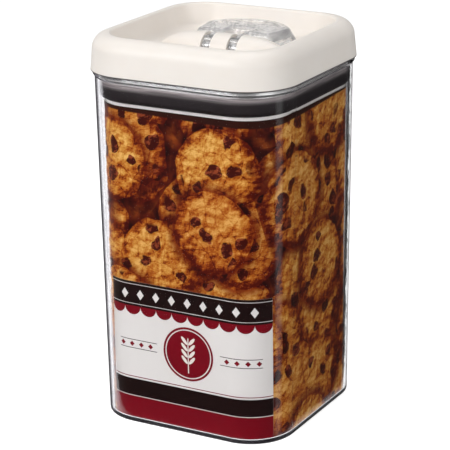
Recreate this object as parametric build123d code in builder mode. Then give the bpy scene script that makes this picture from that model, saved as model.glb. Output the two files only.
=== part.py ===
from build123d import *
from math import atan, degrees
import os

os.makedirs("parts", exist_ok=True)

# Millimetres throughout. The object stands on Z = 0 with its vertical centre
# line on Z. -Y is the front; the flip handle lies towards +Y when it is shut.

# Clear tub: a tall square canister with large corner radii and a little draft
tub_height = 200.0
tub_half_base = 57.5
tub_draft = 2.8
tub_corner_base = 26.0
tub_corner_growth = 4.0
tub_wall = 2.2
tub_floor = 2.0
foot_radius = 1.0
foot_recess_inset = 11.0
foot_recess_depth = 0.6
inside_floor_radius = 0.8
flange_reach = 1.0
flange_height = 2.0
flange_taper_height = 1.4

# Printed card sleeve that stands inside the tub, straight sided
card_thickness = 0.45
card_side_gap = 0.35
card_floor_gap = 0.4
card_top_below_rim = 16.6

# Lid cover: a white moulded shell with a dish in its top
lid_overhang = 0.3
lid_corner_trim = 0.8
lid_height = 20.0
lid_draft = 5.5
lid_roll = 8.4
lid_wall = 2.2
crest_inset = 10.8
crest_corner_inset = 9.0
dish_draft = 2.8
dish_depth = 13.2
dish_floor_radius = 4.0
crest_radius = 1.5

# Long half-round boss across the dish, which covers the pivot
boss_end_inset = 6.5
boss_height = 8.3
boss_axis_y = 0.9
boss_axis_below_dish = 1.4
boss_back = 4.7
boss_shoulder_inset = 20.4
boss_shoulder_drop = 1.9
boss_end_drop = 8.7
boss_wall = 2.0
slot_length_front = 9.3
slot_side_gap = 0.4
slot_behind_boss = 0.7

# Lid base: the tray under the cover, whose plug enters the tub's mouth
base_edge_gap = 0.3
base_lift = 0.3
base_flange = 1.7
plug_wall = 2.2
plug_depth = 4.3
plug_side_gap = 0.8
plug_groove_depth = 0.5
plug_groove_height = 0.6
plug_groove_pitch = 1.5
web_thickness = 2.0
lid_screw_inset = 11.0
lid_screw_joint_above_web = 3.5
lid_screw_radius = 1.3
lid_screw_head_radius = 2.5
lid_screw_head_height = 1.4
lid_screw_bite = 4.4
post_wall = 1.9

# Seal: a soft ring that bulges against the tub when the plate squeezes it
seal_height = 10.3
seal_side_gap = 0.25
seal_width = 7.6
seal_skin = 2.4
seal_lip = 2.4
seal_bottom_radius = 3.0
seal_top_radius = 0.8
seal_seat_gap = 0.2

# Pressure plate under the seal, which the handle's cams draw upwards
plate_thickness = 2.2
plate_card_gap = 0.45
plate_land_height = 4.0
plate_land_wall = 2.0
plate_land_gap = 0.4
plate_boss_radius = 8.0
plate_boss_height = 2.6
plate_travel = 1.6

# Pivot, yoke and stem
pivot_y = -2.0
pivot_above_dish = 1.0
pin_radius = 2.0
pin_running_gap = 0.05
pin_head_radius = 3.0
pin_head_width = 1.4
pin_side_gap = 0.2
clip_radius = 3.2
clip_width = 1.0
yoke_half = 4.6
yoke_depth_half = 4.3
yoke_top_radius = 3.6
yoke_arm_gap = 1.0
stem_radius = 4.4
stem_running_gap = 0.1
stem_flange_radius = 12.0
stem_flange_height = 3.0
oring_thickness = 1.0
oring_squeeze_gap = 0.05
stem_screw_radius = 1.5
stem_screw_head_radius = 3.4
stem_screw_head_height = 1.6
stem_screw_bite = 9.0
cross_slot_width = 0.7
cross_slot_depth = 0.7
cap_thickness = 0.8

# Flip handle: one clear moulding, with two arms that end in cams
arm_width = 5.2
arm_height = 4.9
arm_above_dish = 2.0
arm_nose = 2.5
cam_radius = 5.7
cam_seat_gap = 0.1
grip_boss_gap = 3.8
grip_back_gap = 3.0
grip_shoulder_inset = 17.2
grip_half_front = 27.0
grip_half_wide = 30.6
grip_side_lean = 5.2
grip_end_lean = 0.6
grip_above_dish = 1.3
grip_thickness = 6.8
grip_front_corner = 3.0
grip_shoulder_corner = 7.0
grip_notch_depth = 10.6
grip_rim = 4.2
grip_recess = 0.6
grip_rib_depth = 1.9
grip_rib_width = 1.5
grip_rib_pitch = 4.4
grip_under_recess = 1.6
grip_edge_top = 2.6
grip_edge_bottom = 0.8

# Widths worked out from the sizes above: each follows the tub's own
tub_half_rim = tub_half_base + tub_draft
tub_corner_rim = tub_corner_base + tub_corner_growth
lid_half = tub_half_rim + flange_reach + lid_overhang
lid_corner = tub_corner_rim - lid_corner_trim
dish_half_top = lid_half - crest_inset
dish_half_floor = dish_half_top - dish_draft
dish_corner_top = lid_corner - crest_corner_inset
boss_half_length = dish_half_floor - boss_end_inset
boss_shoulder = dish_half_floor - boss_shoulder_inset
lid_screw_place = dish_half_floor - lid_screw_inset
grip_front = boss_back + grip_boss_gap
grip_back = dish_half_floor - grip_back_gap
grip_shoulder = grip_back - grip_shoulder_inset
grip_notch_end = grip_front + grip_notch_depth

# Heights worked out from the sizes above
rim_z = tub_height
lid_top = rim_z + lid_height
dish_z = lid_top - dish_depth
plug_bottom = rim_z + base_lift - plug_depth - base_edge_gap
seal_top = plug_bottom - seal_seat_gap
seal_bottom = seal_top - seal_height
plate_top = seal_bottom - seal_seat_gap
plate_bottom = plate_top - plate_thickness
card_bottom = tub_floor + card_floor_gap
card_top = rim_z - card_top_below_rim
pivot_z = dish_z + pivot_above_dish
base_top = rim_z + base_lift + base_flange

# The cam is an eccentric round. Its centre sits this far behind and below the
# pin, so that its reach falls evenly by the plate's travel over a quarter turn.
cam_offset = plate_travel / 2
cam_reach_shut = cam_radius + cam_offset
seat_z = pivot_z - cam_reach_shut - cam_seat_gap

arm_inner = yoke_half + yoke_arm_gap
arm_outer = arm_inner + arm_width
reach = 4 * lid_half


def tub_half(height):
    """Half width of the tub's outside at a height."""
    return tub_half_base + (tub_half_rim - tub_half_base) * height / tub_height


def tub_corner(height):
    """Corner radius of the tub's outside at a height."""
    return tub_corner_base + (tub_corner_rim - tub_corner_base) * height / tub_height


def square(half, corner):
    """A rounded square, drawn in the sketch that is open."""
    RectangleRounded(2 * half, 2 * half, corner)


# Clear tub

with BuildPart() as container_body:
    with BuildSketch(Plane.XY):
        square(tub_half_base, tub_corner_base)
    with BuildSketch(Plane.XY.offset(tub_height)):
        square(tub_half_rim, tub_corner_rim)
    loft()
    fillet(container_body.edges().group_by(Axis.Z)[0], foot_radius)
    # the flange at the rim, tapered into the wall below it
    flange_z = tub_height - flange_height
    taper_z = flange_z - flange_taper_height
    with BuildSketch(Plane.XY.offset(taper_z)):
        square(tub_half(taper_z), tub_corner(taper_z))
    with BuildSketch(Plane.XY.offset(flange_z)):
        square(tub_half_rim + flange_reach, tub_corner_rim + flange_reach)
    loft()
    with BuildSketch(Plane.XY.offset(flange_z)):
        square(tub_half_rim + flange_reach, tub_corner_rim + flange_reach)
    extrude(amount=flange_height)
    # the inside, a wall's thickness in from the outside all the way up
    with BuildSketch(Plane.XY.offset(tub_floor)):
        square(tub_half(tub_floor) - tub_wall, tub_corner(tub_floor) - tub_wall)
    with BuildSketch(Plane.XY.offset(tub_height)):
        square(tub_half_rim - tub_wall, tub_corner_rim - tub_wall)
    loft(mode=Mode.SUBTRACT)
    inside_floor = container_body.faces().filter_by(Axis.Z).sort_by(Axis.Z)[1]
    fillet(inside_floor.outer_wire().edges(), inside_floor_radius)
    # the shallow recess under the foot leaves a flat ring to stand on
    with BuildSketch(Plane.XY):
        square(tub_half_base - foot_recess_inset, tub_corner_base - foot_recess_inset)
    extrude(amount=foot_recess_depth, mode=Mode.SUBTRACT)
container_body.part.label = "container_body"
export_step(container_body.part, "parts/container_body.step")


# Printed card sleeve

card_half = tub_half(tub_floor) - tub_wall - card_side_gap
card_corner = tub_corner(tub_floor) - tub_wall - card_side_gap

with BuildPart() as printed_sleeve:
    with BuildSketch(Plane.XY.offset(card_bottom)):
        square(card_half, card_corner)
        RectangleRounded(
            2 * (card_half - card_thickness),
            2 * (card_half - card_thickness),
            card_corner - card_thickness,
            mode=Mode.SUBTRACT,
        )
    extrude(amount=card_top - card_bottom)
printed_sleeve.part.label = "printed_sleeve"
export_step(printed_sleeve.part, "parts/printed_sleeve.step")


# Lid cover, with the hollow between its skirt and its dish made first

dish_taper = degrees(atan((dish_half_top - dish_half_floor) / dish_depth))
screw_corners = [(x, y) for x in (-lid_screw_place, lid_screw_place)
                 for y in (-lid_screw_place, lid_screw_place)]
post_radius = lid_screw_radius + post_wall
screw_joint_z = plug_bottom + web_thickness + lid_screw_joint_above_web

with BuildPart() as lid_hollow:
    with BuildSketch(Plane.XY.offset(rim_z)):
        square(lid_half - lid_wall, lid_corner - lid_wall)
    extrude(amount=lid_height - lid_wall, taper=lid_draft)
    fillet(lid_hollow.edges().group_by(Axis.Z)[-1], lid_roll - lid_wall)
    with BuildSketch(Plane.XY.offset(lid_top)):
        square(dish_half_top + lid_wall, dish_corner_top + lid_wall)
    extrude(amount=-(dish_depth + lid_wall), taper=dish_taper, mode=Mode.SUBTRACT)


def boss_shape(half_length, shoulder, inset, back):
    """The boss as a long round form turned about a line along X, cut off square behind."""
    axis_z = dish_z - boss_axis_below_dish
    top = dish_z + boss_height - inset
    end_z = top - boss_end_drop + inset
    with BuildPart() as form:
        with BuildSketch(Plane.XZ.offset(-boss_axis_y)):
            with BuildLine():
                crown = Spline(
                    (-half_length, end_z),
                    (-shoulder, top - boss_shoulder_drop),
                    (0, top),
                    (shoulder, top - boss_shoulder_drop),
                    (half_length, end_z),
                )
                side = Line(crown @ 1, (half_length, axis_z))
                foot = Line(side @ 1, (-half_length, axis_z))
                Line(foot @ 1, crown @ 0)
            make_face()
        revolve(axis=Axis((0, boss_axis_y, axis_z), (1, 0, 0)))
        with Locations((0, back + reach / 2, dish_z)):
            Box(reach, reach, reach, mode=Mode.SUBTRACT)
    return form


boss_form = boss_shape(boss_half_length, boss_shoulder, 0, boss_back)
boss_hollow = boss_shape(
    boss_half_length - 1.8 * boss_wall,
    boss_shoulder - boss_wall / 2,
    boss_wall,
    boss_back - boss_wall,
)
slot_width = arm_width + 2 * slot_side_gap
slot_middle = (arm_inner + arm_outer) / 2
slot_end = boss_back + slot_behind_boss
slot_length = slot_end + slot_length_front

with BuildPart() as lid_cover:
    with BuildSketch(Plane.XY.offset(rim_z)):
        square(lid_half, lid_corner)
    extrude(amount=lid_height, taper=lid_draft)
    fillet(lid_cover.edges().group_by(Axis.Z)[-1], lid_roll)
    with BuildSketch(Plane.XY.offset(lid_top)):
        square(dish_half_top, dish_corner_top)
    extrude(amount=-dish_depth, taper=dish_taper, mode=Mode.SUBTRACT)
    dish_floor_face = lid_cover.faces().filter_by(Axis.Z).sort_by(Axis.Z)[1]
    fillet(dish_floor_face.outer_wire().edges(), dish_floor_radius)
    crest_face = lid_cover.faces().filter_by(Axis.Z).sort_by(Axis.Z)[-1]
    fillet(crest_face.inner_wires()[0].edges(), crest_radius)
    add(lid_hollow.part, mode=Mode.SUBTRACT)
    add(boss_form.part)
    # nothing of the boss reaches below the dish's own thickness
    with BuildSketch(Plane.XY.offset(rim_z - lid_height)):
        square(dish_half_floor, dish_corner_top)
    extrude(amount=2 * lid_height - dish_depth - lid_wall, mode=Mode.SUBTRACT)
    add(boss_hollow.part, mode=Mode.SUBTRACT)
    with BuildSketch(Plane.XY.offset(rim_z)):
        with Locations(
            (-slot_middle, slot_end - slot_length / 2),
            (slot_middle, slot_end - slot_length / 2),
        ):
            RectangleRounded(slot_width, slot_length, slot_side_gap * 2)
    extrude(amount=lid_height, mode=Mode.SUBTRACT)
    # four posts under the dish take the screws from the lid base
    with BuildSketch(Plane.XY.offset(screw_joint_z)):
        with Locations(*screw_corners):
            Circle(post_radius)
            Circle(lid_screw_radius, mode=Mode.SUBTRACT)
    extrude(amount=dish_z - lid_wall - screw_joint_z)
    with BuildSketch(Plane.XY.offset(screw_joint_z)):
        with Locations(*screw_corners):
            Circle(lid_screw_radius)
    extrude(amount=lid_screw_bite, mode=Mode.SUBTRACT)
lid_cover.part.label = "lid_cover"
export_step(lid_cover.part, "parts/lid_cover.step")


# Lid base: tray, plug, stem guide and cam seats in one moulding

base_half = lid_half - lid_wall - base_edge_gap
base_corner = lid_corner - lid_wall - base_edge_gap
plug_half = tub_half_rim - tub_wall - plug_side_gap
plug_corner = tub_corner_rim - tub_wall - plug_side_gap
flange_low = rim_z + base_lift
seat_block_half = arm_outer + slot_side_gap
seat_block_depth = 2 * (cam_radius + slot_side_gap)

with BuildPart() as lid_base:
    with BuildSketch(Plane.XY.offset(flange_low)):
        square(base_half, base_corner)
    extrude(amount=base_flange)
    with BuildSketch(Plane.XY.offset(plug_bottom)):
        square(plug_half, plug_corner)
    extrude(amount=flange_low - plug_bottom)
    with BuildSketch(Plane.XY.offset(plug_bottom + web_thickness)):
        square(plug_half - plug_wall, plug_corner - plug_wall)
    extrude(amount=base_top - plug_bottom, mode=Mode.SUBTRACT)
    # two shallow grooves run round the plug
    for step in (1, 2):
        with BuildSketch(Plane.XY.offset(flange_low - step * plug_groove_pitch)):
            square(plug_half, plug_corner)
            RectangleRounded(
                2 * (plug_half - plug_groove_depth),
                2 * (plug_half - plug_groove_depth),
                plug_corner - plug_groove_depth,
                mode=Mode.SUBTRACT,
            )
        extrude(amount=plug_groove_height, mode=Mode.SUBTRACT)
    with BuildSketch(Plane.XY.offset(plug_bottom)):
        with Locations((0, pivot_y + cam_offset)):
            Rectangle(2 * seat_block_half, seat_block_depth)
    extrude(amount=seat_z - plug_bottom)
    with BuildSketch(Plane.XY.offset(plug_bottom)):
        with Locations(*screw_corners):
            Circle(post_radius)
    extrude(amount=screw_joint_z - plug_bottom)
    # bores: the stem's guide, and a counterbored hole in each post
    with BuildSketch(Plane.XY.offset(plug_bottom)):
        with Locations((0, pivot_y)):
            Circle(stem_radius + stem_running_gap)
    extrude(amount=lid_height, mode=Mode.SUBTRACT)
    with BuildSketch(Plane.XY.offset(plug_bottom)):
        with Locations(*screw_corners):
            Circle(lid_screw_radius)
    extrude(amount=lid_height, mode=Mode.SUBTRACT)
    with BuildSketch(Plane.XY.offset(plug_bottom)):
        with Locations(*screw_corners):
            Circle(lid_screw_head_radius)
    extrude(amount=lid_screw_head_height, mode=Mode.SUBTRACT)
lid_base.part.label = "lid_base"
export_step(lid_base.part, "parts/lid_base.step")


# Four screws hold the lid base up to the cover; the plate hides their heads

with BuildPart() as lid_screws:
    with BuildSketch(Plane.XY.offset(plug_bottom)):
        with Locations(*screw_corners):
            Circle(lid_screw_head_radius)
    extrude(amount=lid_screw_head_height)
    with BuildSketch(Plane.XY.offset(plug_bottom)):
        with Locations(*screw_corners):
            Circle(lid_screw_radius)
    extrude(amount=screw_joint_z - plug_bottom + lid_screw_bite - slot_side_gap)
    with BuildSketch(Plane.XY.offset(plug_bottom)):
        with Locations(*screw_corners):
            Rectangle(1.4 * lid_screw_head_radius, cross_slot_width)
            Rectangle(cross_slot_width, 1.4 * lid_screw_head_radius)
    extrude(amount=cross_slot_depth, mode=Mode.SUBTRACT)
lid_screws.part.label = "lid_screws"
export_step(lid_screws.part, "parts/lid_screws.step")


# Seal ring: a soft channel, open towards the middle

seal_half = tub_half(seal_bottom) - tub_wall - seal_side_gap
seal_corner = tub_corner(seal_bottom) - tub_wall - seal_side_gap

with BuildPart() as seal_ring:
    with BuildSketch(Plane.XY.offset(seal_bottom)):
        square(seal_half, seal_corner)
    extrude(amount=seal_height)
    fillet(seal_ring.edges().group_by(Axis.Z)[0], seal_bottom_radius)
    fillet(seal_ring.edges().group_by(Axis.Z)[-1], seal_top_radius)
    with BuildSketch(Plane.XY.offset(seal_bottom)):
        square(seal_half - seal_width, seal_corner - seal_width)
    extrude(amount=seal_height, mode=Mode.SUBTRACT)
    with BuildSketch(Plane.XY.offset(seal_bottom + seal_lip)):
        square(seal_half - seal_skin, seal_corner - seal_skin)
    extrude(amount=seal_height - 2 * seal_lip, mode=Mode.SUBTRACT)
seal_ring.part.label = "seal_ring"
export_step(seal_ring.part, "parts/seal_ring.step")


# Pressure plate: it rides just inside the card sleeve's top

plate_half = card_half - card_thickness - plate_card_gap
plate_corner = card_corner - card_thickness - plate_card_gap
land_half = seal_half - seal_width - plate_land_gap
land_corner = seal_corner - seal_width - plate_land_gap
plate_boss_bottom = plate_bottom - plate_boss_height
screw_head_bottom = plate_boss_bottom + cap_thickness

with BuildPart() as pressure_plate:
    with BuildSketch(Plane.XY.offset(plate_bottom)):
        square(plate_half, plate_corner)
    extrude(amount=plate_thickness)
    with BuildSketch(Plane.XY.offset(plate_top)):
        square(land_half, land_corner)
        RectangleRounded(
            2 * (land_half - plate_land_wall),
            2 * (land_half - plate_land_wall),
            land_corner - plate_land_wall,
            mode=Mode.SUBTRACT,
        )
    extrude(amount=plate_land_height)
    with BuildSketch(Plane.XY.offset(plate_boss_bottom)):
        with Locations((0, pivot_y)):
            Circle(plate_boss_radius)
    extrude(amount=plate_boss_height)
    with BuildSketch(Plane.XY.offset(plate_boss_bottom)):
        with Locations((0, pivot_y)):
            Circle(stem_screw_radius)
    extrude(amount=plate_boss_height + plate_thickness, mode=Mode.SUBTRACT)
    with BuildSketch(Plane.XY.offset(plate_boss_bottom)):
        with Locations((0, pivot_y)):
            Circle(stem_screw_head_radius)
    extrude(amount=cap_thickness + stem_screw_head_height, mode=Mode.SUBTRACT)
pressure_plate.part.label = "pressure_plate"
export_step(pressure_plate.part, "parts/pressure_plate.step")


# Yoke: a stem through the lid base, with an eye for the pivot pin on top

yoke_low = seat_z + plate_travel + slot_side_gap
oring_z = (plug_bottom + plate_travel + seat_z) / 2
oring_groove = oring_thickness + 2 * oring_squeeze_gap
oring_inner = stem_radius + oring_squeeze_gap - oring_thickness

with BuildPart() as plate_yoke:
    with BuildSketch(Plane.XY.offset(plate_top)):
        with Locations((0, pivot_y)):
            Circle(stem_flange_radius)
    extrude(amount=stem_flange_height)
    with BuildSketch(Plane.XY.offset(plate_top)):
        with Locations((0, pivot_y)):
            Circle(stem_radius)
    extrude(amount=yoke_low - plate_top)
    with BuildSketch(Plane.YZ.offset(-yoke_half)):
        with BuildLine():
            low = Line((pivot_y - yoke_depth_half, yoke_low), (pivot_y + yoke_depth_half, yoke_low))
            back = Line(low @ 1, (pivot_y + yoke_top_radius, pivot_z))
            top = ThreePointArc(
                back @ 1,
                (pivot_y, pivot_z + yoke_top_radius),
                (pivot_y - yoke_top_radius, pivot_z),
            )
            Line(top @ 1, low @ 0)
        make_face()
        with Locations((pivot_y, pivot_z)):
            Circle(pin_radius, mode=Mode.SUBTRACT)
    extrude(amount=2 * yoke_half)
    # groove for the ring that wipes the stem
    with BuildSketch(Plane.XY.offset(oring_z - oring_groove / 2)):
        with Locations((0, pivot_y)):
            Circle(stem_radius)
            Circle(oring_inner, mode=Mode.SUBTRACT)
    extrude(amount=oring_groove, mode=Mode.SUBTRACT)
    with BuildSketch(Plane.XY.offset(plate_top)):
        with Locations((0, pivot_y)):
            Circle(stem_screw_radius)
    extrude(amount=stem_screw_bite, mode=Mode.SUBTRACT)
plate_yoke.part.label = "plate_yoke"
export_step(plate_yoke.part, "parts/plate_yoke.step")


# Stem screw, its cap and the wiper ring

screw_seat_z = screw_head_bottom + stem_screw_head_height

with BuildPart() as stem_screw:
    with BuildSketch(Plane.XY.offset(screw_head_bottom)):
        with Locations((0, pivot_y)):
            Circle(stem_screw_head_radius)
    extrude(amount=stem_screw_head_height)
    with BuildSketch(Plane.XY.offset(screw_seat_z)):
        with Locations((0, pivot_y)):
            Circle(stem_screw_radius)
    extrude(amount=plate_top - screw_seat_z + stem_screw_bite - slot_side_gap)
    with BuildSketch(Plane.XY.offset(screw_head_bottom)):
        with Locations((0, pivot_y)):
            Rectangle(1.4 * stem_screw_head_radius, cross_slot_width)
            Rectangle(cross_slot_width, 1.4 * stem_screw_head_radius)
    extrude(amount=cross_slot_depth, mode=Mode.SUBTRACT)
stem_screw.part.label = "stem_screw"
export_step(stem_screw.part, "parts/stem_screw.step")

with BuildPart() as screw_cap:
    with BuildSketch(Plane.XY.offset(plate_boss_bottom)):
        with Locations((0, pivot_y)):
            Circle(stem_screw_head_radius)
    extrude(amount=cap_thickness)
screw_cap.part.label = "screw_cap"
export_step(screw_cap.part, "parts/screw_cap.step")

with BuildPart() as stem_oring:
    with BuildSketch(Plane.XZ.offset(-pivot_y)):
        with Locations((oring_inner + oring_thickness / 2, oring_z)):
            Circle(oring_thickness / 2)
    revolve(axis=Axis((0, pivot_y, 0), (0, 0, 1)))
stem_oring.part.label = "stem_oring"
export_step(stem_oring.part, "parts/stem_oring.step")


# Pivot pin with a head at one end and a push-on clip at the other

head_x = arm_outer + pin_side_gap
clip_x = arm_outer + pin_side_gap
pin_tip_x = clip_x + clip_width + slot_side_gap

with BuildPart() as pivot_pin:
    with BuildSketch(Plane.YZ.offset(-head_x)):
        with Locations((pivot_y, pivot_z)):
            Circle(pin_radius)
    extrude(amount=head_x + pin_tip_x)
    chamfer(pivot_pin.edges().sort_by(Axis.X)[-1], pin_radius / 5)
    with BuildSketch(Plane.YZ.offset(-head_x - pin_head_width)):
        with Locations((pivot_y, pivot_z)):
            Circle(pin_head_radius)
    extrude(amount=pin_head_width)
    chamfer(pivot_pin.edges().sort_by(Axis.X)[0], pin_radius / 5)
pivot_pin.part.label = "pivot_pin"
export_step(pivot_pin.part, "parts/pivot_pin.step")

with BuildPart() as pin_clip:
    with BuildSketch(Plane.YZ.offset(clip_x)):
        with Locations((pivot_y, pivot_z)):
            Circle(clip_radius)
            Circle(pin_radius, mode=Mode.SUBTRACT)
    extrude(amount=clip_width)
pin_clip.part.label = "pin_clip"
export_step(pin_clip.part, "parts/pin_clip.step")


# Flip handle

def grip_outline(lean, inset):
    """Plan of the grip at its foot, or leaned in towards its top, less an inset."""
    half_front = grip_half_front - lean * grip_side_lean
    half_wide = grip_half_wide - lean * grip_side_lean
    front_y = grip_front + lean * grip_end_lean
    back_y = grip_back - lean * grip_end_lean
    with BuildSketch() as outline:
        with BuildLine():
            front = Line((-half_front, front_y), (half_front, front_y))
            right = Line(front @ 1, (half_wide, grip_shoulder))
            back = ThreePointArc(right @ 1, (0, back_y), (-half_wide, grip_shoulder))
            Line(back @ 1, front @ 0)
        make_face()
        fillet(outline.vertices().group_by(Axis.Y)[0], grip_front_corner)
        fillet(outline.vertices().filter_by(lambda v: abs(v.Y - grip_shoulder) < 0.01),
               grip_shoulder_corner)
        if inset:
            with Locations((0, grip_notch_end / 2)):
                Rectangle(2 * arm_inner, grip_notch_end, mode=Mode.SUBTRACT)
            offset(amount=-inset, mode=Mode.REPLACE)
    return outline.sketch


grip_low = dish_z + grip_above_dish
grip_top = grip_low + grip_thickness
arm_low = dish_z + arm_above_dish
rib_rows = int((grip_back - grip_front) / grip_rib_pitch) + 1
rib_middle = (grip_back + grip_front) / 2

with BuildPart() as flip_handle:
    with BuildSketch(Plane.XY.offset(grip_low)):
        add(grip_outline(0, 0))
    with BuildSketch(Plane.XY.offset(grip_top)):
        add(grip_outline(1, 0))
    loft()
    # the notch between the arms
    with BuildSketch(Plane.XY.offset(grip_low)):
        with Locations((0, grip_notch_end / 2)):
            Rectangle(2 * arm_inner, grip_notch_end)
    extrude(amount=grip_thickness, mode=Mode.SUBTRACT)
    fillet(flip_handle.edges().group_by(Axis.Z)[-1], grip_edge_top)
    chamfer(flip_handle.edges().group_by(Axis.Z)[0], grip_edge_bottom)
    # a shallow panel inside the rim, with cross ribs between deeper channels
    with BuildSketch(Plane.XY.offset(grip_top - grip_recess)):
        add(grip_outline(1, grip_rim))
    extrude(amount=grip_recess, mode=Mode.SUBTRACT)
    with BuildSketch(Plane.XY.offset(grip_top - grip_rib_depth)):
        add(grip_outline(1, grip_rim))
        with Locations((0, rib_middle)):
            with GridLocations(grip_rib_pitch, grip_rib_pitch, 1, rib_rows):
                Rectangle(4 * grip_half_wide, grip_rib_width, mode=Mode.SUBTRACT)
    extrude(amount=grip_rib_depth, mode=Mode.SUBTRACT)
    with BuildSketch(Plane.XY.offset(grip_low)):
        add(grip_outline(0, grip_rim))
    extrude(amount=grip_under_recess, mode=Mode.SUBTRACT)
    # two arms, each with its cam round the pin
    for low_x in (-arm_outer, arm_inner):
        nose_y = pivot_y - arm_nose
        arm_length = grip_front + grip_rim - nose_y
        with BuildSketch(Plane.YZ.offset(low_x)):
            with Locations((nose_y + arm_length / 2, arm_low + arm_height / 2)):
                RectangleRounded(arm_length, arm_height, 0.45 * arm_height)
            with Locations((pivot_y + cam_offset, pivot_z - cam_offset)):
                Circle(cam_radius)
            with Locations((pivot_y, pivot_z)):
                Circle(pin_radius + pin_running_gap, mode=Mode.SUBTRACT)
        extrude(amount=arm_width)
flip_handle.part.label = "flip_handle"
export_step(flip_handle.part, "parts/flip_handle.step")
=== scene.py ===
import bpy
import bmesh
import math
from mathutils import Matrix, Vector


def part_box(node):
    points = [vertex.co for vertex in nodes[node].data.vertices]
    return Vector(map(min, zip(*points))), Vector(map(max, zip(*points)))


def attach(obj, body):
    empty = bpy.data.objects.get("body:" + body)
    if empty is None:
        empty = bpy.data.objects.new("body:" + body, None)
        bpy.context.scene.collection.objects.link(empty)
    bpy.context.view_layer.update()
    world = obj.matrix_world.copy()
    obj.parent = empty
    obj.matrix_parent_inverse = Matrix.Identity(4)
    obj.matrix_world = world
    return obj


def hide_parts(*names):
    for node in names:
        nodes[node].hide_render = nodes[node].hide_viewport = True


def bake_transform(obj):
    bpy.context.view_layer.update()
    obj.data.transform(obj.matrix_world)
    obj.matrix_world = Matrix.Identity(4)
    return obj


# Metres throughout. The canister stands on Z = 0 with its vertical centre line on Z,
# and -Y is its front.

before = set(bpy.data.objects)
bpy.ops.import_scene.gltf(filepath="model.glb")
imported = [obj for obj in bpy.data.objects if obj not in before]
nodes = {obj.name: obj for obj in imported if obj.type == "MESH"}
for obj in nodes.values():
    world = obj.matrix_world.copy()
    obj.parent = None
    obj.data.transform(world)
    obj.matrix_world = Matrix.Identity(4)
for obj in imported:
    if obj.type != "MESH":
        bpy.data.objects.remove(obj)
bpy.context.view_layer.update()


# Tub

# The tub is one tall moulding in clear, polished plastic, with a flange round its
# mouth and a shallow recess under its foot. It is moulded in one shot, and its
# walls pick up a faint ripple from the steel of the mould.


def new_finish(name, **values):
    """A material with its shader, whose inputs are given by name with _ for a space."""
    finish = bpy.data.materials.new(name)
    finish.use_nodes = True
    surface = finish.node_tree.nodes["Principled BSDF"]
    for key, value in values.items():
        surface.inputs[key.replace("_", " ")].default_value = value
    return finish, finish.node_tree, surface


def feed(socket, value):
    """Joins an input to another node's output, or sets it to a plain value."""
    if isinstance(value, bpy.types.NodeSocket):
        graph.links.new(value, socket)
    else:
        socket.default_value = value


def put(kind, *firsts, **values):
    """Adds a node to the finish in hand: first inputs in order, then settings or inputs by name."""
    made = graph.nodes.new(kind)
    for key, value in values.items():
        if hasattr(made, key):
            setattr(made, key, value)
        else:
            feed(made.inputs[key.replace("_", " ")], value)
    for socket, value in zip(made.inputs, firsts):
        feed(socket, value)
    return made


def maths(operation, *values, clamp=False):
    """One sum on sockets or numbers."""
    return put("ShaderNodeMath", *values, operation=operation, use_clamp=clamp).outputs["Value"]


def vector_maths(operation, *values):
    """One sum on vectors."""
    return put("ShaderNodeVectorMath", *values, operation=operation).outputs["Vector"]


def ramp(value, low, high, out_low=0.0, out_high=1.0):
    """Smooth step of a value between two edges, from one level to another."""
    levels = (value, low, high, out_low, out_high)
    return put("ShaderNodeMapRange", *levels, interpolation_type="SMOOTHSTEP").outputs["Result"]


def blend_ink(share, under, over, how="MIX"):
    """Lays one colour over another by a share."""
    made = put("ShaderNodeMix", share, data_type="RGBA", blend_type=how)
    # the node's colour sockets come after those that it keeps for numbers and vectors
    under_colour, over_colour = made.inputs[6:8]
    feed(under_colour, under)
    feed(over_colour, over)
    return made.outputs[2]


def in_place():
    """Where each point of the piece is, in metres."""
    return put("ShaderNodeTexCoord").outputs["Object"]


def ways(vector):
    """The X, Y and Z of a vector."""
    return put("ShaderNodeSeparateXYZ", vector).outputs


def lean_upward(amount):
    """The way that the surface faces, leant upwards by an amount."""
    facing = put("ShaderNodeNewGeometry").outputs["Normal"]
    return vector_maths("NORMALIZE", vector_maths("ADD", facing, (0, 0, amount)))


def ripple(scale, depth, detail=2.0, drawn=(1, 1, 1)):
    """An unevenness in the surface, drawn out where a scale is under 1 and fine where over."""
    place = put("ShaderNodeMapping", in_place(), Scale=drawn).outputs["Vector"]
    level = put("ShaderNodeTexNoise", place, Scale=scale, Detail=detail).outputs["Fac"]
    bump = put("ShaderNodeBump", Strength=1.0, Distance=depth, Height=level)
    feed(shader.inputs["Normal"], bump.outputs["Normal"])
    return level


def lay(share, under, over):
    """Lays one shader over another by a share."""
    return put("ShaderNodeMixShader", share, under, over).outputs["Shader"]


def show(surface):
    """Makes a mixed shader the one that the finish in hand shows."""
    feed(graph.nodes["Material Output"].inputs["Surface"], surface)


def dress(node, finish):
    """Gives a CAD node's object its finish."""
    for piece_slot in nodes[node].material_slots:
        piece_slot.material = finish


clear_polished, graph, shader = new_finish(
    "clear_polished_plastic",
    Base_Color=(0.985, 0.985, 0.995, 1),
    Roughness=0.015,
    IOR=1.49,
    Transmission_Weight=1.0,
    Specular_IOR_Level=0.30,
)
ripple(22.0, 0.000010, drawn=(1, 1, 1 / 6))

edge = put("ShaderNodeLayerWeight", Blend=0.5).outputs["Facing"]
faces = put("ShaderNodeNewGeometry").outputs
turned = ways(faces["Normal"])
outer = maths("SUBTRACT", 1.0, faces["Backfacing"])
up_wall = ways(in_place())["Z"]


def leftwards(right_level, left_level):
    """Goes from one level on walls that face right to another on walls that face left."""
    return ramp(turned["X"], 0.1, -0.3, right_level, left_level)


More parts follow.
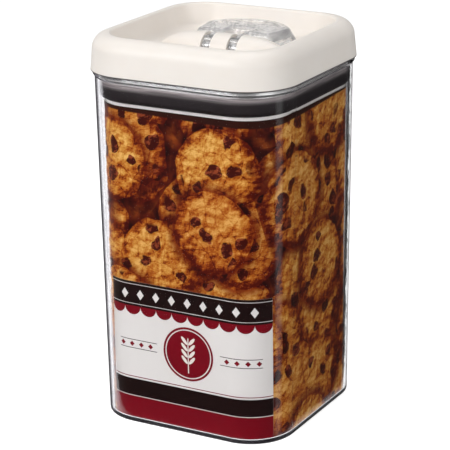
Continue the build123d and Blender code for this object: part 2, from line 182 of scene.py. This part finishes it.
# painted shade: where the outer wall turns edge on, a dark line is painted in for the thick
# plastic, stronger on walls that face left, with a faint painted lavender cast inside it
painted_edge_line = ramp(edge, leftwards(0.70, 0.58), leftwards(0.86, 0.80), 0.0, leftwards(0.55, 0.95))
painted_lavender_veil = ramp(edge, 0.44, 0.66, 0.0, leftwards(0.0, 0.20))
# painted shade: the thick edge of the foot is painted as a thin grey line
foot_line_low, foot_line_high, foot_line_share = 0.0022, 0.0026, 0.42
painted_foot_line = ramp(up_wall, foot_line_low, foot_line_high, 1.0, 0.0)
dark_share = maths("MAXIMUM", painted_edge_line, painted_lavender_veil)
dark_share = put(
    "ShaderNodeMix", data_type="FLOAT", Factor=painted_foot_line, A=dark_share, B=foot_line_share,
).outputs["Result"]
dark_share = maths("MULTIPLY", dark_share, outer)
# colours of the painted edge shade: lavender, going near black at the very edge and at the foot
lavender, near_black = (0.62, 0.58, 0.72, 1), (0.060, 0.055, 0.065, 1)
painted_edge_colour = blend_ink(maths("MAXIMUM", ramp(edge, 0.60, 0.76), painted_foot_line), lavender, near_black)
painted_edge_shade = put("ShaderNodeBsdfDiffuse", Color=painted_edge_colour).outputs["BSDF"]
walls = lay(dark_share, shader.outputs["BSDF"], painted_edge_shade)
# the flange is rounded at its corners, where it catches a lamp
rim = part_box("container_body")[1][2]
flange_low, flange_full = rim - 0.0042, rim - 0.0030
corner_turn = maths("MULTIPLY", turned["X"], turned["Y"])
gleam = ramp(corner_turn, -0.16, -0.36, 0.0, 0.30)
gleam = maths("MULTIPLY", gleam, ramp(up_wall, flange_low, flange_full))
glint = put(
    "ShaderNodeBsdfAnisotropic", Roughness=0.34, Color=(1, 1, 1, 1), Normal=lean_upward(0.40),
).outputs["BSDF"]
show(lay(gleam, walls, glint))
dress("container_body", clear_polished)
nodes["container_body"].visible_shadow = False


# Printed sleeve

# A strip of thin card, colour printed and varnished, is bent round into a tube with
# the tub's own corners and slid inside against the walls. Its print shows biscuits
# all round, and a front panel with plain bands of colour.

sleeve_low, sleeve_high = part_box("printed_sleeve")
sleeve_half = sleeve_high[0]
sleeve_corner = 0.0235
sleeve_flat = sleeve_half - sleeve_corner
card_thick = 0.00045
print_tall = 0.1792
print_line = sleeve_high[2] - print_tall


def round_the_tube(x, y):
    """Distance along the card from the middle of the front, to the right."""
    bend = math.pi / 2 * sleeve_corner
    if y < -sleeve_flat and abs(x) <= sleeve_flat:
        return x
    side = math.copysign(1, x)
    x = abs(x)
    if x > sleeve_flat and y < -sleeve_flat:
        return side * (sleeve_flat + sleeve_corner * math.atan2(x - sleeve_flat, -y - sleeve_flat))
    if x > sleeve_flat and y <= sleeve_flat:
        return side * (2 * sleeve_flat + bend + y)
    if x > sleeve_flat:
        past_bend = sleeve_corner * math.atan2(y - sleeve_flat, x - sleeve_flat)
        return side * (3 * sleeve_flat + bend + past_bend)
    return side * (4 * sleeve_flat + 2 * bend - x)


def make_piece(mesh, name, finish_list, sharp=35.0):
    """Turns the finished mesh into a piece, smooth but for edges past the sharp angle."""
    data = bpy.data.meshes.new(name)
    mesh.to_mesh(data)
    mesh.free()
    for finish in finish_list:
        data.materials.append(finish)
    data.polygons.foreach_set("use_smooth", [True] * len(data.polygons))
    data.set_sharp_from_angle(angle=math.radians(sharp))
    piece = bpy.data.objects.new(name, data)
    bpy.context.scene.collection.objects.link(piece)
    return piece


def only(kind, parts):
    """The parts of one kind among those that a mesh tool made."""
    return [part for part in parts if isinstance(part, kind)]


# a face with round corners at the foot is drawn up into a wall, then taken away
tube = bmesh.new()
foot = bmesh.ops.create_grid(tube, x_segments=1, y_segments=1, size=sleeve_half)
bmesh.ops.translate(tube, verts=foot["verts"], vec=(0, 0, sleeve_low[2]))
bmesh.ops.bevel(
    tube, geom=foot["verts"], offset=sleeve_corner, offset_type="OFFSET", segments=24,
    profile=0.5, affect="VERTICES", material=-1,
)
foot_face = tube.faces[:]
wall = bmesh.ops.extrude_edge_only(tube, edges=tube.edges[:])["geom"]
wall_top = only(bmesh.types.BMVert, wall)
bmesh.ops.translate(tube, verts=wall_top, vec=(0, 0, sleeve_high[2] - sleeve_low[2]))
bmesh.ops.delete(tube, geom=foot_face, context="FACES_ONLY")
everything = tube.verts[:] + tube.edges[:] + tube.faces[:]
bmesh.ops.bisect_plane(tube, geom=everything, plane_co=(0, 0, 0), plane_no=(1, 0, 0))
bmesh.ops.recalc_face_normals(tube, faces=tube.faces[:])
print_map = tube.loops.layers.uv.new("print")
for face in tube.faces:
    middle = face.calc_center_median()
    for loop in face.loops:
        x, y, z = loop.vert.co
        # a point on the seam at the back counts to the side that its face is on
        on_seam = abs(x) < 1e-6
        way_round = round_the_tube(math.copysign(1e-9, middle.x) if on_seam else x, y)
        loop[print_map].uv = (way_round, z - print_line)
bmesh.ops.solidify(tube, geom=tube.faces[:], thickness=card_thick)
for face in tube.faces:
    middle = face.calc_center_median()
    near, far = sorted((abs(middle.x), abs(middle.y)))
    if near > sleeve_flat:
        far = sleeve_flat + math.hypot(near - sleeve_flat, far - sleeve_flat)
    printed = far > sleeve_half - card_thick * 0.3
    face.material_index = 0 if printed else 1

print_ink, graph, shader = new_finish("printed_card", Roughness=0.45, Specular_IOR_Level=0.12)
where = put("ShaderNodeUVMap", uv_map="print").outputs["UV"]
on_card = ways(where)
along, up = on_card["X"], on_card["Y"]


def ink(red, green, blue):
    """A printed colour given as it looks on screen, 0 to 255."""
    levels = []
    for shown in (red / 255, green / 255, blue / 255):
        levels.append(shown / 12.92 if shown <= 0.04045 else ((shown + 0.055) / 1.055) ** 2.4)
    return *levels, 1


def shades(level, *stops):
    """Colour by a level; each stop is a level with its colour, from low to high."""
    made = put("ShaderNodeValToRGB", level)
    marks = made.color_ramp.elements
    for mark, (at, colour) in zip(marks, (stops[0], stops[-1])):
        mark.position = at
        mark.color = colour
    for at, colour in stops[1:-1]:
        marks.new(at).color = colour
    return made.outputs["Color"]


# the baked surface: fine crumb, broad lumps and thin cracks, lit from the print's upper left
to_light_x, to_light_y = -0.55, 0.83
crumb_grain = {"Scale": 520.0, "Detail": 6.0, "Roughness": 0.62}
lump_grain = {"Scale": 150.0, "Detail": 4.0, "Roughness": 0.55}
crumb = put("ShaderNodeTexNoise", where, **crumb_grain).outputs["Fac"]
lumps = put("ShaderNodeTexNoise", where, **lump_grain).outputs["Fac"]
wander = put("ShaderNodeTexNoise", where, Scale=70.0, Detail=2.0).outputs["Color"]


def cells(place, per_metre, feature="F1", randomness=1.0):
    """Cells scattered over the card, this many to a metre."""
    return put(
        "ShaderNodeTexVoronoi", voronoi_dimensions="2D", feature=feature, Vector=place,
        Scale=per_metre, Randomness=randomness,
    ).outputs


crack_place = vector_maths("MULTIPLY_ADD", wander, (0.007, 0.007, 0), where)
crack = cells(crack_place, 92.0, "DISTANCE_TO_EDGE")["Distance"]


def relief(level, grain, step):
    """How much the printed surface leans to the light: a noise less itself a step away."""
    beside = vector_maths("ADD", where, (to_light_x * step, to_light_y * step, 0))
    return maths("SUBTRACT", level, put("ShaderNodeTexNoise", beside, **grain).outputs["Fac"])


lump_relief = relief(lumps, lump_grain, 0.0020)
crumb_relief = relief(crumb, crumb_grain, 0.0005)


def biscuit_layer(under, pitch, shift, size, turn):
    """One scatter of round baked biscuits laid over what is already printed."""
    moved = put("ShaderNodeMapping", where, Location=(*shift, 0), Rotation=(0, 0, turn))
    place = moved.outputs["Vector"]
    biscuits = cells(place, 1 / pitch, randomness=0.55)
    pick = put("ShaderNodeSeparateColor", biscuits["Color"]).outputs

    # the outline is uneven, and each biscuit has a size of its own
    uneven = 0.006
    local = vector_maths("SUBTRACT", place, biscuits["Position"])
    local = vector_maths("MULTIPLY_ADD", wander, (uneven, uneven, 0), local)
    local = vector_maths("SUBTRACT", local, (uneven / 2, uneven / 2, 0))
    far = put("ShaderNodeVectorMath", local, operation="LENGTH").outputs["Value"]
    radius = maths("MULTIPLY_ADD", pick["Red"], size * 0.22, size * 0.86)
    ratio = maths("DIVIDE", far, radius)

    # light falls across it by its tilt, its lumps and its crumb, less its cracks and rim
    tilt = put(
        "ShaderNodeVectorMath", local, (to_light_x / size, to_light_y / size, 0),
        operation="DOT_PRODUCT",
    ).outputs["Value"]
    lit = maths("MULTIPLY_ADD", tilt, 0.24, 0.60)
    lit = maths("ADD", lit, maths("MULTIPLY", lump_relief, 1.5))
    lit = maths("ADD", lit, maths("MULTIPLY", crumb_relief, 1.1))
    lit = maths("ADD", lit, maths("MULTIPLY", maths("SUBTRACT", lumps, 0.5), 0.9))
    lit = maths("SUBTRACT", lit, ramp(crack, 0.05, 0.0, 0.0, 0.22))
    lit = maths("SUBTRACT", lit, ramp(ratio, 0.70, 1.0, 0.0, 0.46), clamp=True)
    baked = shades(
        lit, (0.0, ink(78, 12, 0)), (0.20, ink(122, 44, 4)), (0.42, ink(170, 90, 22)),
        (0.68, ink(200, 138, 56)), (1.0, ink(228, 180, 100)),
    )
    warm_share = maths("MULTIPLY", pick["Green"], 0.30)
    baked = blend_ink(warm_share, baked, ink(214, 136, 60), "MULTIPLY")

    # dark chips of several sizes stay clear of the rim, lit by the same lumps and crumb
    swirl = put("ShaderNodeVectorMath", wander, operation="SCALE", Scale=0.010)
    chips = cells(vector_maths("ADD", place, swirl.outputs["Vector"]), 84.0)
    chip_pick = put("ShaderNodeSeparateColor", chips["Color"]).outputs
    chip_edge = maths("MULTIPLY_ADD", lumps, 0.55, maths("MULTIPLY", chip_pick["Green"], 0.14))
    chip = ramp(chips["Distance"], chip_edge, maths("SUBTRACT", chip_edge, 0.05))
    chip = maths("MULTIPLY", chip, ramp(chip_pick["Red"], 0.55, 0.57))
    chip = maths("MULTIPLY", chip, ramp(ratio, 0.92, 0.84))
    chip_lit = maths("MULTIPLY", crumb_relief, 3.0)
    chip_lit = maths("ADD", maths("MULTIPLY", lump_relief, 4.0), chip_lit)
    chip_ink = blend_ink(ramp(chip_lit, 0.05, 0.55), ink(58, 6, 0), ink(140, 62, 34))

    # each biscuit shades what lies under it
    shaded = blend_ink(ramp(ratio, 1.30, 1.0), under, (0.34, 0.11, 0.04, 1), "MULTIPLY")
    return blend_ink(ramp(ratio, 1.0, 0.975), shaded, blend_ink(chip, baked, chip_ink))


art = blend_ink(ramp(lumps, 0.35, 0.7), ink(74, 14, 0), ink(150, 72, 20))
for pitch, shift, size, turn in (
    (0.040, (0.011, 0.007), 0.0240, 0.4),
    (0.052, (0.003, 0.0205), 0.0262, -0.25),
    (0.066, (0.0215, 0.0085), 0.0255, 0.9),
):
    art = biscuit_layer(art, pitch, shift, size, turn)

# a dark band along the card's top edge, deepest near the front's right corner
swell_left = maths("MULTIPLY_ADD", along, 0.026, 0.0032)
swell_right = maths("MULTIPLY_ADD", along, -0.040, 0.0064)
top_dark_band_deep = maths("MAXIMUM", maths("MINIMUM", swell_left, swell_right), 0.0012)
top_dark_band = maths("SUBTRACT", print_tall, top_dark_band_deep)
top_dark_band = ramp(up, maths("SUBTRACT", top_dark_band, 0.0004), maths("ADD", top_dark_band, 0.0004))
art = blend_ink(top_dark_band, art, ink(44, 14, 6))

# the front panel has a dark head with a scalloped edge, a pale field with a round badge
# between rules and diamonds, and at its foot two bands of colour with a rule over them;
# a printed edge is soft over this much on either side
soft = 0.0001
maroon, night, pale = ink(118, 4, 22), ink(26, 8, 7), ink(226, 222, 219)
panel_left, panel_right = -0.0445, 0.0554
panel_foot, panel_top = -0.003, 0.0800
head_foot = 0.0655
centre = 0.0055
badge_y = 0.0428
across = maths("ABSOLUTE", maths("SUBTRACT", along, centre))


def window(value, rise_start, rise_end, fall_end, fall_start):
    """1 between two soft edges and 0 outside them."""
    return maths("MULTIPLY", ramp(value, rise_start, rise_end), ramp(value, fall_end, fall_start))


def between(value, low, high):
    """How much of a point lies between two printed edges."""
    return window(value, low - soft, low + soft, high + soft, high - soft)


panel = between(along, panel_left, panel_right)


def on_panel(share, under, colour, part=panel):
    """Prints a colour on the front panel, or on a part of it."""
    return blend_ink(maths("MULTIPLY", part, share), under, colour)


art = on_panel(between(up, panel_foot, panel_top), art, pale)

scallop_root, scallop_deep, scallops_across = 0.0652, 0.0048, 10
scallop_wide = (panel_right - panel_left + 2 * soft) / scallops_across
hang = maths("DIVIDE", maths("SUBTRACT", along, panel_left - soft), scallop_wide)
hang = maths("SUBTRACT", maths("FRACT", hang), 0.5)
hang = maths("SUBTRACT", 1.0, maths("MULTIPLY", maths("MULTIPLY", hang, hang), 4.0))
hang = maths("SUBTRACT", scallop_root, maths("MULTIPLY", maths("POWER", hang, 0.5), scallop_deep))
scallops = ramp(up, maths("SUBTRACT", hang, soft), maths("ADD", hang, soft))
scallops = maths("MULTIPLY", scallops, ramp(up, head_foot + 0.0005, head_foot + 0.0003))
art = on_panel(scallops, art, maroon)

# the head with its two pale rules, then the bands and the rule at the foot
for low, high, colour in (
    (head_foot, panel_top, night),
    (head_foot + 0.0013, head_foot + 0.0016, pale),
    (panel_top - 0.0018, panel_top - 0.0015, pale),
    (panel_foot, 0.0112, maroon),
    (0.0116, 0.0218, night),
    (0.0228, 0.0233, maroon),
):
    art = on_panel(between(up, low, high), art, colour)

# a pair of rules on either side of the badge
wings = between(across, 0.0201, 0.0441)
for rule_y in (badge_y - 0.0025, badge_y + 0.0025):
    art = on_panel(between(up, rule_y - 0.0002, rule_y + 0.0002), art, night, wings)

badge_rise = maths("SUBTRACT", up, badge_y)
badge_rise = maths("MULTIPLY", badge_rise, badge_rise)
badge_far = maths("ADD", maths("MULTIPLY", across, across), badge_rise)
badge_far = maths("POWER", badge_far, 0.5)
for radius, colour in ((0.0158, maroon), (0.0145, pale), (0.0139, maroon)):
    art = blend_ink(ramp(badge_far, radius + soft, radius - soft), art, colour)


def diamonds(first, pitch, count, middle_y, half_wide, half_tall, colour, under):
    """A row of small diamonds, the same on both sides of the panel's middle line."""
    step = maths("DIVIDE", maths("SUBTRACT", across, first - pitch / 2), pitch)
    aside = maths("MULTIPLY", maths("SUBTRACT", maths("FRACT", step), 0.5), pitch / half_wide)
    above = maths("DIVIDE", maths("SUBTRACT", up, middle_y), half_tall)
    reach = maths("ADD", maths("ABSOLUTE", aside), maths("ABSOLUTE", above))
    in_row = window(step, 0.0, 0.01, count, count - 0.01)
    return on_panel(maths("MULTIPLY", ramp(reach, 1.05, 0.95), in_row), under, colour)


art = diamonds(0.0242, 0.0060, 4.0, badge_y, 0.0016, 0.0016, maroon, art)
art = diamonds(0.0, 0.0100, 5.0, 0.0725, 0.0022, 0.0030, pale, art)


def grain_ear(middle_x, middle_y, tall, colour, under):
    """A plain ear of grain, in two rows of kernels, printed upright about a middle point."""
    pitch = tall / 6
    aside = maths("ABSOLUTE", maths("SUBTRACT", along, middle_x))
    above = maths("SUBTRACT", up, middle_y - tall / 2)
    step = maths("DIVIDE", maths("SUBTRACT", above, maths("MULTIPLY", aside, 0.9)), pitch)
    kernel_x = maths("DIVIDE", maths("SUBTRACT", aside, pitch * 0.62), pitch * 0.52)
    kernel_y = maths("DIVIDE", maths("SUBTRACT", maths("FRACT", step), 0.5), 0.36)
    kernel_y = maths("POWER", maths("ABSOLUTE", kernel_y), 2.0)
    oval = maths("ADD", maths("POWER", kernel_x, 2.0), kernel_y)
    in_row = window(step, 0.98, 1.0, 5.02, 5.0)
    kernels = maths("MULTIPLY", ramp(oval, 1.08, 0.92), in_row)
    stem_tall = window(above, -soft, soft, tall * 0.93, tall * 0.90)
    stem = maths("MULTIPLY", ramp(aside, pitch * 0.10, pitch * 0.06), stem_tall)
    return blend_ink(maths("MAXIMUM", kernels, stem), under, colour)


art = grain_ear(centre, badge_y, 0.0225, ink(232, 226, 218), art)
feed(shader.inputs["Base Color"], art)

board, graph, shader = new_finish("unprinted_board", Roughness=0.75)
fibre = ripple(900.0, 0.00003, detail=6.0)
pulp = shades(fibre, (0.35, (0.66, 0.64, 0.60, 1)), (0.65, (0.78, 0.76, 0.72, 1)))
feed(shader.inputs["Base Color"], pulp)

sleeve = make_piece(tube, "sleeve_print", [print_ink, board])
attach(sleeve, "container")
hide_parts("printed_sleeve")


# Lid cover

# A warm white moulding with a rolled crest, a dish and a half-round boss with two
# slots for the handle's arms. It leaves the mould with a soft gloss, and with the
# slight unevenness that a thick plastic part has.

warm_white, graph, shader = new_finish(
    "warm_white_gloss",
    Roughness=0.36,
    Specular_IOR_Level=0.35,
    Subsurface_Weight=0.12,
    Subsurface_Radius=(0.004, 0.0035, 0.003),
    Subsurface_Scale=1.0,
)
flow = ripple(60.0, 0.00002)
resin = shades(flow, (0.3, (0.875, 0.815, 0.755, 1)), (0.7, (0.895, 0.838, 0.782, 1)))
# the skirt's lower lip is in the shadow of the joint with the tub
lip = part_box("lid_cover")[0][2]
lip_shadow = ramp(ways(in_place())["Z"], lip + 0.0007, lip + 0.0003)
feed(shader.inputs["Base Color"], blend_ink(lip_shadow, resin, (0.05, 0.04, 0.04, 1)))
dress("lid_cover", warm_white)


# Lid base

# A pale plug screwed up under the cover. It is moulded in natural plastic, with two
# grooves round its side, and enters the mouth of the tub.

pale_satin, graph, shader = new_finish(
    "pale_satin_plastic", Roughness=0.20, IOR=1.9, Specular_IOR_Level=0.7,
)
place = in_place()
haze = put("ShaderNodeTexNoise", place, Scale=240.0, Detail=2.0).outputs["Fac"]
milk = shades(haze, (0.3, (0.79, 0.74, 0.72, 1)), (0.7, (0.84, 0.79, 0.77, 1)))
# painted shade: its side is painted dark in fine level lines for the grooves, and painted
# dark up under the cover for the cover's shadow; its edges lean to the light
plug_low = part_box("lid_base")[0][2]
groove_start, groove_half_pitch = plug_low + 0.0004, 0.00055
height = ways(place)["Z"]
groove_shade_lines = maths("PINGPONG", maths("SUBTRACT", height, groove_start), groove_half_pitch)
tone = ramp(groove_shade_lines, 0.00008, 0.00024, 0.30, 0.78)
tone = maths("MULTIPLY", tone, ramp(height, plug_low + 0.0021, plug_low + 0.0018, 0.05, 1.0))
# the painted shade of the grooves and of the cover darkens the plug's own colour
painted_groove_and_cover_shade = put("ShaderNodeCombineColor", tone, tone, tone).outputs["Color"]
feed(shader.inputs["Base Color"], blend_ink(1.0, milk, painted_groove_and_cover_shade, "MULTIPLY"))
feed(shader.inputs["Normal"], lean_upward(0.30))
dress("lid_base", pale_satin)


# Screws, pin and clip

# Plain steel hardware: four screws through the lid base, one up the stem, and the
# pivot pin with its push-on clip. All are turned or stamped, then tumbled bright.

bright_steel, graph, shader = new_finish("bright_steel", Metallic=1.0, Roughness=0.28)
turning = ripple(1400.0, 0.00001, detail=1.0)
sheen = shades(turning, (0.0, (0.50, 0.50, 0.51, 1)), (1.0, (0.68, 0.68, 0.69, 1)))
feed(shader.inputs["Base Color"], sheen)
for piece in ("lid_screws", "stem_screw", "pivot_pin", "pin_clip"):
    dress(piece, bright_steel)


# Seal

# A soft dark ring moulded as a channel. The shut handle squeezes it between the plug
# and the plate, so it bulges against the wall.

seal_low, seal_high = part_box("seal_ring")
seal_tall = seal_high[2] - seal_low[2]
seal_round = 0.02725
seal_flat = seal_high[0] - seal_round


def arc(inset, height, wide, tall, angles):
    """Points round a bend of the section, about its middle, by angles in degrees."""
    turns = [math.radians(angle) for angle in angles]
    return [(inset + wide * math.cos(turn), height + tall * math.sin(turn)) for turn in turns]


# the section, in millimetres in from the outside and up from the foot: up the bulging
# outer side, in over the top lip, and back down the inside of the channel
section = [(7.6, 0.0), (3.0, 0.0)]
section += arc(3.0, 3.0, 2.9, 3.0, range(255, 179, -15))
section += [(0.02, 4.6), (0.0, 6.2), (0.04, 8.0), (0.12, 9.5)]
section += arc(0.92, 9.5, 0.8, 0.8, (150, 120, 90))
section += [(7.4, 10.3), (7.6, 10.1), (7.6, 8.1), (7.4, 7.9)]
section += [(3.0, 7.9), (2.5, 7.4), (2.4, 5.2), (2.5, 2.9), (3.0, 2.4), (7.4, 2.4), (7.6, 2.2)]

# the section is spun round each corner and drawn along each side
ring = bmesh.new()
points = [
    ring.verts.new((seal_high[0] - inset / 1000, seal_flat, seal_low[2] + height / 1000))
    for inset, height in section
]
end = points + [ring.edges.new(pair) for pair in zip(points, points[1:] + points[:1])]
corner_middle = Vector((seal_flat, seal_flat, 0))
along_side = Vector((-2 * seal_flat, 0, 0))
quarter = math.pi / 2
for corner in range(4):
    end = bmesh.ops.spin(
        ring, geom=end, cent=corner_middle, axis=(0, 0, 1), angle=quarter, steps=24,
        use_merge=False, use_duplicate=False,
    )["geom_last"]
    end = only(bmesh.types.BMEdge, end)
    drawn = bmesh.ops.extrude_edge_only(ring, edges=end)["geom"]
    moved = only(bmesh.types.BMVert, drawn)
    bmesh.ops.translate(ring, verts=moved, vec=along_side)
    edges = only(bmesh.types.BMEdge, drawn)
    end = moved + [edge for edge in edges if all(point in moved for point in edge.verts)]
    corner_middle += along_side
    along_side.rotate(Matrix.Rotation(quarter, 3, "Z"))
bmesh.ops.remove_doubles(ring, verts=ring.verts[:], dist=0.00001)
bmesh.ops.recalc_face_normals(ring, faces=ring.faces[:])
rise = ring.verts.layers.float.new("rise")
for point in ring.verts:
    point[rise] = point.co.z - seal_low[2]

soft_dark, graph, shader = new_finish(
    "soft_dark_silicone", Roughness=0.50, Specular_IOR_Level=0.22,
)
bloom = ripple(90.0, 0.00003)
tone = shades(bloom, (0.0, (0.009, 0.006, 0.007, 1)), (1.0, (0.025, 0.019, 0.021, 1)))
# painted highlight: the top of its side is painted pale in fine level streaks, for the light that
# its top shoulder catches
height = put("ShaderNodeAttribute", attribute_name="rise").outputs["Fac"]
place = ways(in_place())
level_place = put("ShaderNodeCombineXYZ", place["X"], place["Y"], height).outputs["Vector"]
streak_place = put("ShaderNodeMapping", level_place, Scale=(0.03, 0.03, 1.0)).outputs["Vector"]
streaks = put("ShaderNodeTexNoise", streak_place, Scale=1500.0, Detail=1.0).outputs["Fac"]
painted_top_highlight = maths("POWER", ramp(height, seal_tall - 0.0044, seal_tall - 0.0002), 1.7)
painted_top_highlight = maths("MULTIPLY", painted_top_highlight, ramp(streaks, 0.35, 0.60, 0.55, 1.15), clamp=True)
feed(shader.inputs["Base Color"], blend_ink(painted_top_highlight, tone, (0.33, 0.29, 0.29, 1)))

seal = make_piece(ring, "soft_seal", [soft_dark], sharp=50)
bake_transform(seal)
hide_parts("seal_ring")
dress("stem_oring", soft_dark)


# Plate, yoke and cap

# The plate is a stiff white disc of the tub's shape. A screwed-on stem joins it to
# the handle's pin, and a small cap closes the screw hole on the food side.

plate_white, graph, shader = new_finish("stiff_white_plastic", Roughness=0.36)
cloud = ripple(240.0, 0.00001)
chalk = shades(cloud, (0.3, (0.785, 0.757, 0.747, 1)), (0.7, (0.815, 0.783, 0.773, 1)))
# painted shadow: the plate's edge is painted dark where the seal sits over it and shades it
plate_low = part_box("pressure_plate")[0][2]
height = maths("SUBTRACT", ways(in_place())["Z"], plate_low)
painted_seal_shadow = window(height, 0.0014, 0.0018, 0.0026, 0.0024)
feed(shader.inputs["Base Color"], blend_ink(painted_seal_shadow, chalk, (0.03, 0.02, 0.02, 1)))
for piece in ("pressure_plate", "plate_yoke", "screw_cap"):
    dress(piece, plate_white)


# Flip handle

# One thick clear moulding: a fan-shaped grip with cross ribs, and two arms that pass
# through the boss's slots and end in round cams on the steel pin.

clear_thick, graph, shader = new_finish(
    "clear_thick_plastic", Roughness=0.02, IOR=1.49, Transmission_Weight=0.85,
)
# uneven draw marks run from the arms to the grip's edge
flutes = ripple(60.0, 0.00034, drawn=(9.0, 1.0, 1.0))
smoke = shades(flutes, (0.38, (0.60, 0.60, 0.61, 1)), (0.53, (0.97, 0.965, 0.96, 1)))
feed(shader.inputs["Base Color"], smoke)
# light that the handle bends still lands near by, so its shadow is only partial
shadow_ray = put("ShaderNodeLightPath").outputs["Is Shadow Ray"]
pass_light = put("ShaderNodeBsdfTransparent").outputs["BSDF"]
show(lay(maths("MULTIPLY", shadow_ray, 0.86), shader.outputs["BSDF"], pass_light))
dress("flip_handle", clear_thick)


# Floor, light and camera

# A plain pale floor under a white surround, soft light from the front left, the right
# and above, and a long lens that looks down on the lid from the front right.

floor_half = 6.0
floor_drop = 0.0002
floor_mesh = bmesh.new()
bmesh.ops.create_grid(floor_mesh, x_segments=1, y_segments=1, size=floor_half)
bmesh.ops.translate(floor_mesh, verts=floor_mesh.verts[:], vec=(0, 0, -floor_drop))
pale_floor, graph, shader = new_finish(
    "pale_floor", Base_Color=(0.80, 0.80, 0.80, 1), Roughness=0.6,
)
rays = put("ShaderNodeLightPath").outputs
seen = maths("MAXIMUM", rays["Is Camera Ray"], rays["Is Transmission Ray"])
glow = put("ShaderNodeEmission", (1, 1, 1, 1), maths("MULTIPLY", seen, 0.70))
lit_floor = put("ShaderNodeAddShader", shader.outputs["BSDF"], glow.outputs["Emission"])
# what the polished walls mirror: dark in front and beside, as with dark cards round
# the camera, but for a pale strip to the right; the floor behind stays as it is
spread = ways(in_place())
corner_x, corner_y = 0.045, -0.045
rightward = maths("SUBTRACT", spread["X"], corner_x)
forward = maths("SUBTRACT", corner_y, spread["Y"])
bearing = maths("ARCTAN2", rightward, forward)
strip = window(bearing, 1.56, 1.62, 1.92, 1.84)
behind = maths("MULTIPLY", ramp(spread["Y"], -0.064, -0.060), ramp(spread["X"], 0.064, 0.060))
right_corner = ramp(maths("SUBTRACT", spread["X"], spread["Y"]), 0.104, 0.100)
behind = maths("MULTIPLY", behind, right_corner)
mirrored = put("ShaderNodeEmission", (1, 1, 1, 1), maths("MULTIPLY_ADD", strip, 0.45, 0.02))
dark_share = maths("MULTIPLY", rays["Is Glossy Ray"], maths("SUBTRACT", 1.0, behind))
show(lay(dark_share, lit_floor.outputs["Shader"], mirrored.outputs["Emission"]))
floor = make_piece(floor_mesh, "floor", [pale_floor])

# the surround is white to the camera and through the plastic, half as bright in what
# mirrors it, darker overhead in both, and a third as bright as a light
surround = bpy.data.worlds.new("surround")
bpy.context.scene.world = surround
surround.use_nodes = True
graph = surround.node_tree
backdrop = graph.nodes["Background"]
rays = put("ShaderNodeLightPath").outputs
heading = ways(put("ShaderNodeTexCoord").outputs["Generated"])
overhead = ramp(heading["Z"], 0.42, 0.62, 1.0, 0.35)
through = rays["Is Transmission Ray"]
mirror_rays = maths("MAXIMUM", rays["Is Glossy Ray"], through)
mirror_only = maths("SUBTRACT", mirror_rays, through)
mirror_share = maths("SUBTRACT", 1.0, maths("MULTIPLY", mirror_only, 0.5))
mirror_level = maths("MULTIPLY", mirror_rays, mirror_share)
light_level = maths("MULTIPLY", maths("SUBTRACT", 1.0, mirror_rays), 0.34)
level = maths("ADD", maths("MULTIPLY", mirror_level, overhead), light_level)
feed(backdrop.inputs["Strength"], maths("MAXIMUM", level, rays["Is Camera Ray"]))
feed(backdrop.inputs["Color"], (1, 1, 1, 1))


def softbox(name, place, aim_height, size, watts):
    """One soft square lamp that points at a height on the tub's centre line."""
    lamp = bpy.data.lights.new(name, "AREA")
    lamp.shape = "RECTANGLE"
    lamp.size = size
    lamp.size_y = size
    lamp.energy = watts
    holder = bpy.data.objects.new(name, lamp)
    holder.location = place
    way = Vector((0, 0, aim_height)) - Vector(place)
    holder.rotation_euler = way.to_track_quat("-Z", "Y").to_euler()
    bpy.context.scene.collection.objects.link(holder)


softbox("key", (-0.50, -1.25, 0.85), 0.12, 0.8, 11.4)
softbox("overhead", (-0.1, 0.15, 1.3), 0.15, 0.9, 5.0)
softbox("fill", (1.3, -0.55, 0.6), 0.1, 0.8, 5.0)

lens = bpy.data.cameras.new("long_lens")
lens.sensor_width = 36.0
lens.lens = 151.78
lens.clip_start = 0.05
lens.clip_end = 30.0
camera = bpy.data.objects.new("long_lens", lens)
stand = Vector((0.500315, -0.889360, 0.441165))
aim = Vector((-0.002128, 0.001027, 0.104050))
roll = math.radians(-0.861)
back = (stand - aim).normalized()
right = Vector((0, 0, 1)).cross(back).normalized()
level_view = Matrix((right, back.cross(right), back)).transposed()
pose = (level_view @ Matrix.Rotation(roll, 3, "Z")).to_4x4()
pose.translation = stand
camera.matrix_world = pose
bpy.context.scene.collection.objects.link(camera)
bpy.context.scene.camera = camera
bpy.context.scene.view_settings.view_transform = "Standard"
